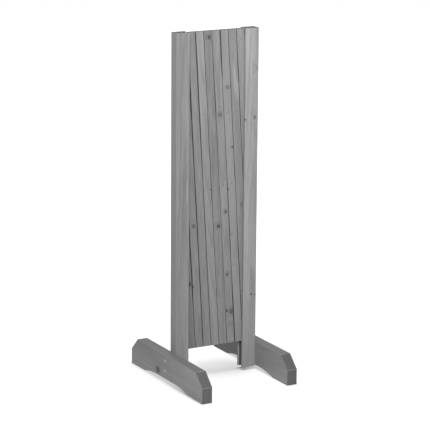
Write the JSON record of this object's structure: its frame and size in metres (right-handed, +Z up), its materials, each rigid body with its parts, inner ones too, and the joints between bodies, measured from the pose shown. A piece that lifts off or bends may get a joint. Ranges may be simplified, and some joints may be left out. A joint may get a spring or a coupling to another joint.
{
  "type": "expandable trellis",
  "caption": "Free-standing wooden scissor trellis, drawn closed: a riveted lattice of slats slides out between two grooved posts on cross feet.",
  "frame": {"origin": "on the ground, in the middle of the rectangle that the two feet cover in the closed trellis", "axes": "+Z up, +X along the trellis from the left post to the right one, -Y towards the front, where the slats run down to the right"},
  "size_m": [0.3252, 0.469, 1],
  "materials": {
    "post_wood": "grey stained softwood, matt",
    "foot_wood": "grey stained softwood, matt",
    "front_slat_wood": "grey stained softwood, matt",
    "back_slat_wood": "grey stained softwood, matt",
    "rivet_steel": "grey stained steel",
    "pin_steel": "bright steel",
    "screw_steel": "yellow zinc plated steel"
  },
  "bodies": {
    "left_post": {"left_post": "post_wood", "left_foot": "foot_wood", "left_foot_screws": "screw_steel", "left_post_pin": "pin_steel"},
    "front_slat_1": {"front_slat_1": "front_slat_wood", "rivets_1": "rivet_steel"},
    "front_slat_2": {"front_slat_2": "front_slat_wood", "rivets_2": "rivet_steel"},
    "front_slat_3": {"front_slat_3": "front_slat_wood", "rivets_3": "rivet_steel"},
    "front_slat_4": {"front_slat_4": "front_slat_wood", "rivets_4": "rivet_steel"},
    "front_slat_5": {"front_slat_5": "front_slat_wood", "rivets_5": "rivet_steel"},
    "front_slat_6": {"front_slat_6": "front_slat_wood", "rivets_6": "rivet_steel"},
    "front_slat_7": {"front_slat_7": "front_slat_wood", "rivets_7": "rivet_steel"},
    "front_slat_8": {"front_slat_8": "front_slat_wood", "rivets_8": "rivet_steel"},
    "front_slat_9": {"front_slat_9": "front_slat_wood", "rivets_9": "rivet_steel"},
    "back_slat_1": {"back_slat_1": "back_slat_wood"},
    "back_slat_2": {"back_slat_2": "back_slat_wood"},
    "back_slat_3": {"back_slat_3": "back_slat_wood"},
    "back_slat_4": {"back_slat_4": "back_slat_wood"},
    "back_slat_5": {"back_slat_5": "back_slat_wood"},
    "back_slat_6": {"back_slat_6": "back_slat_wood"},
    "back_slat_7": {"back_slat_7": "back_slat_wood"},
    "back_slat_8": {"back_slat_8": "back_slat_wood"},
    "back_slat_9": {"back_slat_9": "back_slat_wood"},
    "right_post": {"right_post": "post_wood", "right_foot": "foot_wood", "right_foot_screws": "screw_steel", "right_post_pin": "pin_steel"}
  },
  "joints": [
    {"name": "trellis_spread", "type": "hinge", "parent": "left_post", "child": "front_slat_2", "pos_m": [-0.1036, 0, 0.971], "axis": [0, -1, 0], "range_deg": [0, 26.4]},
    {"name": "rivet_1_row_2", "type": "hinge", "parent": "front_slat_2", "child": "back_slat_1", "pos_m": [-0.09065, 0, 0.76441], "axis": [0, 1, 0], "range_deg": [0, 56]},
    {"name": "rivet_2_row_1", "type": "hinge", "parent": "back_slat_1", "child": "front_slat_3", "pos_m": [-0.0777, 0, 0.971], "axis": [0, -1, 0], "range_deg": [0, 56]},
    {"name": "rivet_3_row_2", "type": "hinge", "parent": "front_slat_3", "child": "back_slat_2", "pos_m": [-0.06475, 0, 0.76441], "axis": [0, 1, 0], "range_deg": [0, 56]},
    {"name": "rivet_4_row_1", "type": "hinge", "parent": "back_slat_2", "child": "front_slat_4", "pos_m": [-0.0518, 0, 0.971], "axis": [0, -1, 0], "range_deg": [0, 56]},
    {"name": "rivet_5_row_2", "type": "hinge", "parent": "front_slat_4", "child": "back_slat_3", "pos_m": [-0.03885, 0, 0.76441], "axis": [0, 1, 0], "range_deg": [0, 56]},
    {"name": "rivet_6_row_1", "type": "hinge", "parent": "back_slat_3", "child": "front_slat_5", "pos_m": [-0.0259, 0, 0.971], "axis": [0, -1, 0], "range_deg": [0, 56]},
    {"name": "rivet_7_row_2", "type": "hinge", "parent": "front_slat_5", "child": "back_slat_4", "pos_m": [-0.01295, 0, 0.76441], "axis": [0, 1, 0], "range_deg": [0, 56]},
    {"name": "rivet_8_row_1", "type": "hinge", "parent": "back_slat_4", "child": "front_slat_6", "pos_m": [0, 0, 0.971], "axis": [0, -1, 0], "range_deg": [0, 56]},
    {"name": "rivet_9_row_2", "type": "hinge", "parent": "front_slat_6", "child": "back_slat_5", "pos_m": [0.01295, 0, 0.76441], "axis": [0, 1, 0], "range_deg": [0, 56]},
    {"name": "rivet_10_row_1", "type": "hinge", "parent": "back_slat_5", "child": "front_slat_7", "pos_m": [0.0259, 0, 0.971], "axis": [0, -1, 0], "range_deg": [0, 56]},
    {"name": "rivet_11_row_2", "type": "hinge", "parent": "front_slat_7", "child": "back_slat_6", "pos_m": [0.03885, 0, 0.76441], "axis": [0, 1, 0], "range_deg": [0, 56]},
    {"name": "rivet_12_row_1", "type": "hinge", "parent": "back_slat_6", "child": "front_slat_8", "pos_m": [0.0518, 0, 0.971], "axis": [0, -1, 0], "range_deg": [0, 56]},
    {"name": "rivet_13_row_2", "type": "hinge", "parent": "front_slat_8", "child": "back_slat_7", "pos_m": [0.06475, 0, 0.76441], "axis": [0, 1, 0], "range_deg": [0, 56]},
    {"name": "rivet_14_row_1", "type": "hinge", "parent": "back_slat_7", "child": "front_slat_9", "pos_m": [0.0777, 0, 0.971], "axis": [0, -1, 0], "range_deg": [0, 56]},
    {"name": "rivet_15_row_2", "type": "hinge", "parent": "front_slat_9", "child": "back_slat_8", "pos_m": [0.09065, 0, 0.76441], "axis": [0, 1, 0], "range_deg": [0, 56]},
    {"name": "right_post_pin", "type": "hinge", "parent": "back_slat_8", "child": "right_post", "pos_m": [0.1036, 0, 0.971], "axis": [0, -1, 0], "range_deg": [0, 28]},
    {"name": "rivet_0_row_3", "type": "hinge", "parent": "back_slat_1", "child": "front_slat_1", "pos_m": [-0.1036, 0, 0.55781], "axis": [0, -1, 0], "range_deg": [0, 56]},
    {"name": "rivet_16_row_3", "type": "hinge", "parent": "front_slat_9", "child": "back_slat_9", "pos_m": [0.1036, 0, 0.55781], "axis": [0, 1, 0], "range_deg": [0, 56]}
  ],
  "couplings": [
    {"joint": "rivet_1_row_2", "follows": "trellis_spread", "ratio": 2},
    {"joint": "rivet_2_row_1", "follows": "trellis_spread", "ratio": 2},
    {"joint": "rivet_3_row_2", "follows": "trellis_spread", "ratio": 2},
    {"joint": "rivet_4_row_1", "follows": "trellis_spread", "ratio": 2},
    {"joint": "rivet_5_row_2", "follows": "trellis_spread", "ratio": 2},
    {"joint": "rivet_6_row_1", "follows": "trellis_spread", "ratio": 2},
    {"joint": "rivet_7_row_2", "follows": "trellis_spread", "ratio": 2},
    {"joint": "rivet_8_row_1", "follows": "trellis_spread", "ratio": 2},
    {"joint": "rivet_9_row_2", "follows": "trellis_spread", "ratio": 2},
    {"joint": "rivet_10_row_1", "follows": "trellis_spread", "ratio": 2},
    {"joint": "rivet_11_row_2", "follows": "trellis_spread", "ratio": 2},
    {"joint": "rivet_12_row_1", "follows": "trellis_spread", "ratio": 2},
    {"joint": "rivet_13_row_2", "follows": "trellis_spread", "ratio": 2},
    {"joint": "rivet_14_row_1", "follows": "trellis_spread", "ratio": 2},
    {"joint": "rivet_15_row_2", "follows": "trellis_spread", "ratio": 2},
    {"joint": "right_post_pin", "follows": "trellis_spread", "ratio": 1},
    {"joint": "rivet_0_row_3", "follows": "trellis_spread", "ratio": 2},
    {"joint": "rivet_16_row_3", "follows": "trellis_spread", "ratio": 2}
  ]
}
